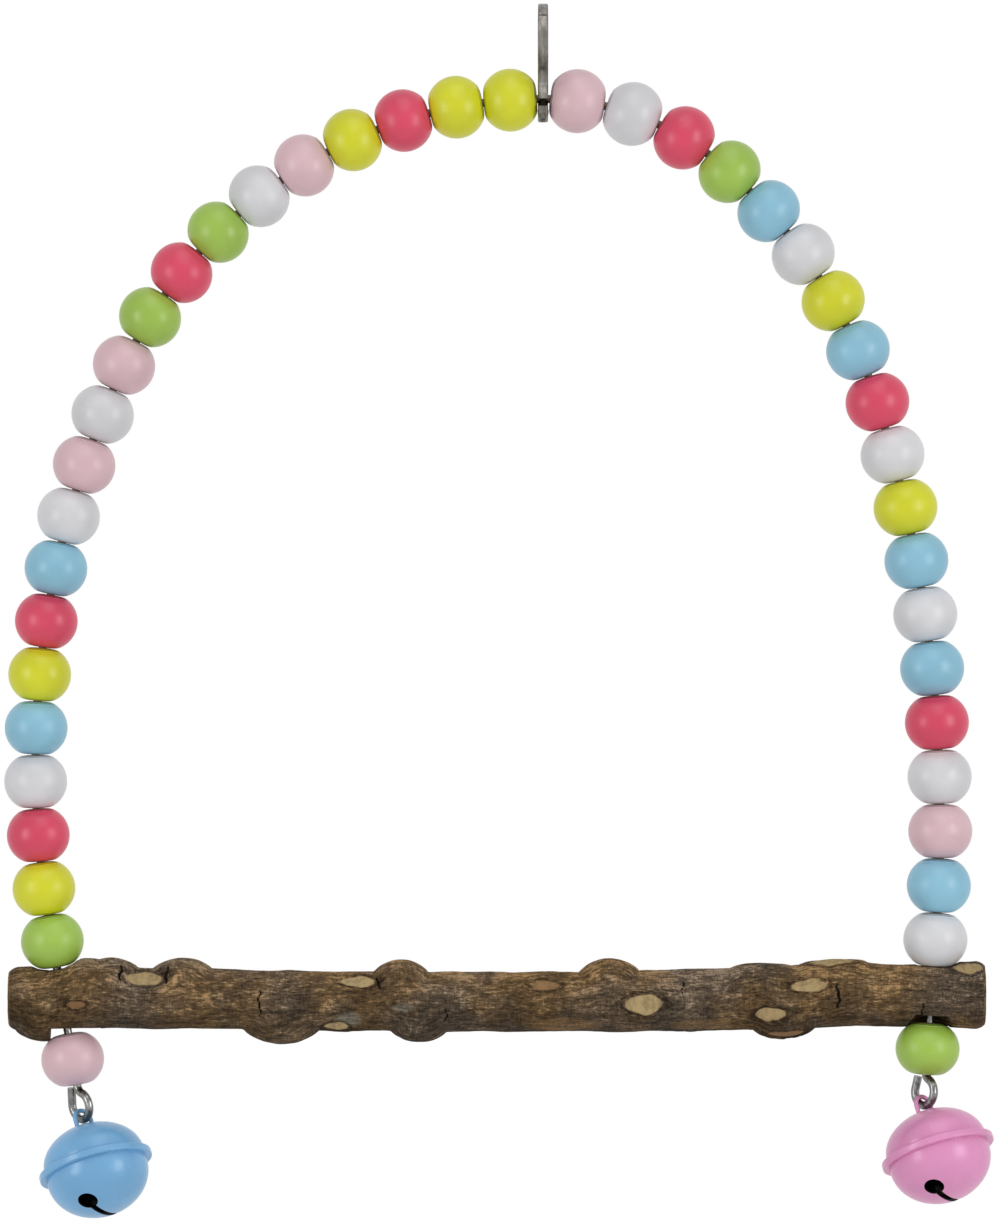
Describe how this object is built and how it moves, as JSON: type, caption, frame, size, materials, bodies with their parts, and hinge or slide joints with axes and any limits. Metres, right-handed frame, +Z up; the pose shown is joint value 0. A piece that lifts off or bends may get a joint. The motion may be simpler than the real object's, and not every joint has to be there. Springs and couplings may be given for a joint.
{
  "type": "bird swing",
  "caption": "Hanging bird swing: painted beads on a bent wire arch over a natural branch perch, with a snap hook on top and a jingle bell under each end.",
  "frame": {"origin": "centre of the snap hook's upper loop, where the swing hangs from a bar", "axes": "+X along the perch to the viewer's right, +Y away from the viewer, +Z up"},
  "size_m": [0.3032, 0.0339, 0.3722],
  "materials": {
    "hook_steel": "plain nickel-plated steel",
    "pin_steel": "plain steel",
    "spring_steel": "plain spring steel",
    "wire_steel": "bright drawn steel",
    "pea_steel": "plain steel",
    "bark": "peeled branch, brown fibres and pale cut scars",
    "bell_blue": "gloss pastel blue paint",
    "bell_pink": "gloss pastel pink paint",
    "bead_yellow": "satin-gloss paint on a turned bead",
    "bead_raspberry": "satin-gloss paint on a turned bead",
    "bead_pink": "satin-gloss paint on a turned bead",
    "bead_white": "satin-gloss paint on a turned bead",
    "bead_green": "satin-gloss paint on a turned bead",
    "bead_blue": "satin-gloss paint on a turned bead"
  },
  "bodies": {
    "hook": {"hook_body": "hook_steel", "gate_pin": "pin_steel", "gate_spring": "spring_steel"},
    "gate": {"hook_gate": "hook_steel"},
    "arch": {"arch_wire": "wire_steel", "perch": "bark"},
    "bell_left": {"bell_left_loop": "bell_blue", "bell_left_crown": "bell_blue", "bell_left_bowl": "bell_blue"},
    "pea_left": {"bell_left_pea": "pea_steel"},
    "bead_left_01": {"bead_left_01": "bead_yellow"},
    "bead_left_02": {"bead_left_02": "bead_yellow"},
    "bead_left_03": {"bead_left_03": "bead_raspberry"},
    "bead_left_04": {"bead_left_04": "bead_yellow"},
    "bead_left_05": {"bead_left_05": "bead_pink"},
    "bead_left_06": {"bead_left_06": "bead_white"},
    "bead_left_07": {"bead_left_07": "bead_green"},
    "bead_left_08": {"bead_left_08": "bead_raspberry"},
    "bead_left_09": {"bead_left_09": "bead_green"},
    "bead_left_10": {"bead_left_10": "bead_pink"},
    "bead_left_11": {"bead_left_11": "bead_white"},
    "bead_left_12": {"bead_left_12": "bead_pink"},
    "bead_left_13": {"bead_left_13": "bead_white"},
    "bead_left_14": {"bead_left_14": "bead_blue"},
    "bead_left_15": {"bead_left_15": "bead_raspberry"},
    "bead_left_16": {"bead_left_16": "bead_yellow"},
    "bead_left_17": {"bead_left_17": "bead_blue"},
    "bead_left_18": {"bead_left_18": "bead_white"},
    "bead_left_19": {"bead_left_19": "bead_raspberry"},
    "bead_left_20": {"bead_left_20": "bead_yellow"},
    "bead_left_21": {"bead_left_21": "bead_green"},
    "bead_left_lower": {"bead_left_lower": "bead_pink"},
    "bell_right": {"bell_right_loop": "bell_pink", "bell_right_crown": "bell_pink", "bell_right_bowl": "bell_pink"},
    "pea_right": {"bell_right_pea": "pea_steel"},
    "bead_right_01": {"bead_right_01": "bead_pink"},
    "bead_right_02": {"bead_right_02": "bead_white"},
    "bead_right_03": {"bead_right_03": "bead_raspberry"},
    "bead_right_04": {"bead_right_04": "bead_green"},
    "bead_right_05": {"bead_right_05": "bead_blue"},
    "bead_right_06": {"bead_right_06": "bead_white"},
    "bead_right_07": {"bead_right_07": "bead_yellow"},
    "bead_right_08": {"bead_right_08": "bead_blue"},
    "bead_right_09": {"bead_right_09": "bead_raspberry"},
    "bead_right_10": {"bead_right_10": "bead_white"},
    "bead_right_11": {"bead_right_11": "bead_yellow"},
    "bead_right_12": {"bead_right_12": "bead_blue"},
    "bead_right_13": {"bead_right_13": "bead_white"},
    "bead_right_14": {"bead_right_14": "bead_blue"},
    "bead_right_15": {"bead_right_15": "bead_raspberry"},
    "bead_right_16": {"bead_right_16": "bead_white"},
    "bead_right_17": {"bead_right_17": "bead_pink"},
    "bead_right_18": {"bead_right_18": "bead_blue"},
    "bead_right_19": {"bead_right_19": "bead_white"},
    "bead_right_lower": {"bead_right_lower": "bead_green"}
  },
  "joints": [
    {"name": "arch_swing", "type": "hinge", "parent": "hook", "child": "arch", "pos_m": [0, 0, -0.01802], "axis": [1, 0, 0], "range_deg": [-90, 90]},
    {"name": "bell_left_swing", "type": "hinge", "parent": "arch", "child": "bell_left", "pos_m": [-0.14109, 0, -0.33105], "axis": [0.6335, -0.766, 0.1091], "range_deg": [-65, 65]},
    {"name": "bell_right_swing", "type": "hinge", "parent": "arch", "child": "bell_right", "pos_m": [0.11672, 0, -0.32677], "axis": [0.6411, -0.766, -0.046], "range_deg": [-65, 65]},
    {"name": "gate_open", "type": "hinge", "parent": "hook", "child": "gate", "pos_m": [0, -0.0032, -0.0222], "axis": [-1, 0, 0], "range_deg": [0, 18], "stiffness_Nm_per_rad": 0.05, "springref_deg": -17.19, "deforming": ["gate_spring"]},
    {"name": "pea_left_roll", "type": "hinge", "parent": "bell_left", "child": "pea_left", "pos_m": [-0.13689, -0.00507, -0.34542], "axis": [1, 0, 0], "range_deg": [-45, 45]},
    {"name": "pea_right_roll", "type": "hinge", "parent": "bell_right", "child": "pea_right", "pos_m": [0.12094, -0.00504, -0.34113], "axis": [1, 0, 0], "range_deg": [-45, 45]},
    {"name": "spin_bead_left_01", "type": "hinge", "parent": "arch", "child": "bead_left_01", "pos_m": [-0.01005, 0, -0.01838], "axis": [-0.9975, 0, -0.0708], "continuous": true},
    {"name": "spin_bead_left_02", "type": "hinge", "parent": "arch", "child": "bead_left_02", "pos_m": [-0.02663, 0, -0.02054], "axis": [-0.9823, 0, -0.1876], "continuous": true},
    {"name": "spin_bead_left_03", "type": "hinge", "parent": "arch", "child": "bead_left_03", "pos_m": [-0.04285, 0, -0.02464], "axis": [-0.9534, 0, -0.3018], "continuous": true},
    {"name": "spin_bead_left_04", "type": "hinge", "parent": "arch", "child": "bead_left_04", "pos_m": [-0.05848, 0, -0.03062], "axis": [-0.9113, 0, -0.4118], "continuous": true},
    {"name": "spin_bead_left_05", "type": "hinge", "parent": "arch", "child": "bead_left_05", "pos_m": [-0.07329, 0, -0.03839], "axis": [-0.8565, 0, -0.5161], "continuous": true},
    {"name": "spin_bead_left_06", "type": "hinge", "parent": "arch", "child": "bead_left_06", "pos_m": [-0.08708, 0, -0.04786], "axis": [-0.7899, 0, -0.6133], "continuous": true},
    {"name": "spin_bead_left_07", "type": "hinge", "parent": "arch", "child": "bead_left_07", "pos_m": [-0.09967, 0, -0.05888], "axis": [-0.7123, 0, -0.7019], "continuous": true},
    {"name": "spin_bead_left_08", "type": "hinge", "parent": "arch", "child": "bead_left_08", "pos_m": [-0.11087, 0, -0.0713], "axis": [-0.6248, 0, -0.7808], "continuous": true},
    {"name": "spin_bead_left_09", "type": "hinge", "parent": "arch", "child": "bead_left_09", "pos_m": [-0.12054, 0, -0.08495], "axis": [-0.5286, 0, -0.8489], "continuous": true},
    {"name": "spin_bead_left_10", "type": "hinge", "parent": "arch", "child": "bead_left_10", "pos_m": [-0.12853, 0, -0.09965], "axis": [-0.4251, 0, -0.9051], "continuous": true},
    {"name": "spin_bead_left_11", "type": "hinge", "parent": "arch", "child": "bead_left_11", "pos_m": [-0.13509, 0, -0.11478], "axis": [-0.3713, 0, -0.9285], "continuous": true},
    {"name": "spin_bead_left_12", "type": "hinge", "parent": "arch", "child": "bead_left_12", "pos_m": [-0.14076, 0, -0.13023], "axis": [-0.3177, 0, -0.9482], "continuous": true},
    {"name": "spin_bead_left_13", "type": "hinge", "parent": "arch", "child": "bead_left_13", "pos_m": [-0.14554, 0, -0.14598], "axis": [-0.263, 0, -0.9648], "continuous": true},
    {"name": "spin_bead_left_14", "type": "hinge", "parent": "arch", "child": "bead_left_14", "pos_m": [-0.14941, 0, -0.16198], "axis": [-0.2075, 0, -0.9782], "continuous": true},
    {"name": "spin_bead_left_15", "type": "hinge", "parent": "arch", "child": "bead_left_15", "pos_m": [-0.15237, 0, -0.17817], "axis": [-0.1512, 0, -0.9885], "continuous": true},
    {"name": "spin_bead_left_16", "type": "hinge", "parent": "arch", "child": "bead_left_16", "pos_m": [-0.15439, 0, -0.1945], "axis": [-0.0945, 0, -0.9955], "continuous": true},
    {"name": "spin_bead_left_17", "type": "hinge", "parent": "arch", "child": "bead_left_17", "pos_m": [-0.15548, 0, -0.21092], "axis": [-0.0375, 0, -0.9993], "continuous": true},
    {"name": "spin_bead_left_18", "type": "hinge", "parent": "arch", "child": "bead_left_18", "pos_m": [-0.15562, 0, -0.22738], "axis": [0.0196, 0, -0.9998], "continuous": true},
    {"name": "spin_bead_left_19", "type": "hinge", "parent": "arch", "child": "bead_left_19", "pos_m": [-0.15483, 0, -0.24382], "axis": [0.0767, 0, -0.9971], "continuous": true},
    {"name": "spin_bead_left_20", "type": "hinge", "parent": "arch", "child": "bead_left_20", "pos_m": [-0.1531, 0, -0.26019], "axis": [0.1336, 0, -0.991], "continuous": true},
    {"name": "spin_bead_left_21", "type": "hinge", "parent": "arch", "child": "bead_left_21", "pos_m": [-0.15051, 0, -0.27637], "axis": [0.1698, 0, -0.9855], "continuous": true},
    {"name": "spin_bead_left_lower", "type": "hinge", "parent": "arch", "child": "bead_left_lower", "pos_m": [-0.14428, 0, -0.31254], "axis": [0.1698, 0, -0.9855], "continuous": true},
    {"name": "spin_bead_right_01", "type": "hinge", "parent": "arch", "child": "bead_right_01", "pos_m": [0.01055, 0, -0.01868], "axis": [0.9922, 0, -0.1249], "continuous": true},
    {"name": "spin_bead_right_02", "type": "hinge", "parent": "arch", "child": "bead_right_02", "pos_m": [0.02748, 0, -0.02261], "axis": [0.9456, 0, -0.3253], "continuous": true},
    {"name": "spin_bead_right_03", "type": "hinge", "parent": "arch", "child": "bead_right_03", "pos_m": [0.04327, 0, -0.02994], "axis": [0.859, 0, -0.5121], "continuous": true},
    {"name": "spin_bead_right_04", "type": "hinge", "parent": "arch", "child": "bead_right_04", "pos_m": [0.05722, 0, -0.04034], "axis": [0.741, 0, -0.6715], "continuous": true},
    {"name": "spin_bead_right_05", "type": "hinge", "parent": "arch", "child": "bead_right_05", "pos_m": [0.06921, 0, -0.05241], "axis": [0.6659, 0, -0.746], "continuous": true},
    {"name": "spin_bead_right_06", "type": "hinge", "parent": "arch", "child": "bead_right_06", "pos_m": [0.07983, 0, -0.06565], "axis": [0.5837, 0, -0.812], "continuous": true},
    {"name": "spin_bead_right_07", "type": "hinge", "parent": "arch", "child": "bead_right_07", "pos_m": [0.08899, 0, -0.07994], "axis": [0.4949, 0, -0.869], "continuous": true},
    {"name": "spin_bead_right_08", "type": "hinge", "parent": "arch", "child": "bead_right_08", "pos_m": [0.0966, 0, -0.09511], "axis": [0.4006, 0, -0.9163], "continuous": true},
    {"name": "spin_bead_right_09", "type": "hinge", "parent": "arch", "child": "bead_right_09", "pos_m": [0.10257, 0, -0.111], "axis": [0.3018, 0, -0.9534], "continuous": true},
    {"name": "spin_bead_right_10", "type": "hinge", "parent": "arch", "child": "bead_right_10", "pos_m": [0.1072, 0, -0.12713], "axis": [0.2568, 0, -0.9665], "continuous": true},
    {"name": "spin_bead_right_11", "type": "hinge", "parent": "arch", "child": "bead_right_11", "pos_m": [0.11118, 0, -0.14333], "axis": [0.2198, 0, -0.9756], "continuous": true},
    {"name": "spin_bead_right_12", "type": "hinge", "parent": "arch", "child": "bead_right_12", "pos_m": [0.11453, 0, -0.15967], "axis": [0.1824, 0, -0.9832], "continuous": true},
    {"name": "spin_bead_right_13", "type": "hinge", "parent": "arch", "child": "bead_right_13", "pos_m": [0.11726, 0, -0.17612], "axis": [0.1447, 0, -0.9895], "continuous": true},
    {"name": "spin_bead_right_14", "type": "hinge", "parent": "arch", "child": "bead_right_14", "pos_m": [0.11936, 0, -0.19266], "axis": [0.1069, 0, -0.9943], "continuous": true},
    {"name": "spin_bead_right_15", "type": "hinge", "parent": "arch", "child": "bead_right_15", "pos_m": [0.12082, 0, -0.20927], "axis": [0.0689, 0, -0.9976], "continuous": true},
    {"name": "spin_bead_right_16", "type": "hinge", "parent": "arch", "child": "bead_right_16", "pos_m": [0.12165, 0, -0.22593], "axis": [0.0308, 0, -0.9995], "continuous": true},
    {"name": "spin_bead_right_17", "type": "hinge", "parent": "arch", "child": "bead_right_17", "pos_m": [0.12185, 0, -0.2426], "axis": [-0.0074, 0, -1], "continuous": true},
    {"name": "spin_bead_right_18", "type": "hinge", "parent": "arch", "child": "bead_right_18", "pos_m": [0.12141, 0, -0.25927], "axis": [-0.0456, 0, -0.999], "continuous": true},
    {"name": "spin_bead_right_19", "type": "hinge", "parent": "arch", "child": "bead_right_19", "pos_m": [0.12036, 0, -0.27591], "axis": [-0.0715, 0, -0.9974], "continuous": true},
    {"name": "spin_bead_right_lower", "type": "hinge", "parent": "arch", "child": "bead_right_lower", "pos_m": [0.11797, 0, -0.30933], "axis": [-0.0715, 0, -0.9974], "continuous": true}
  ]
}
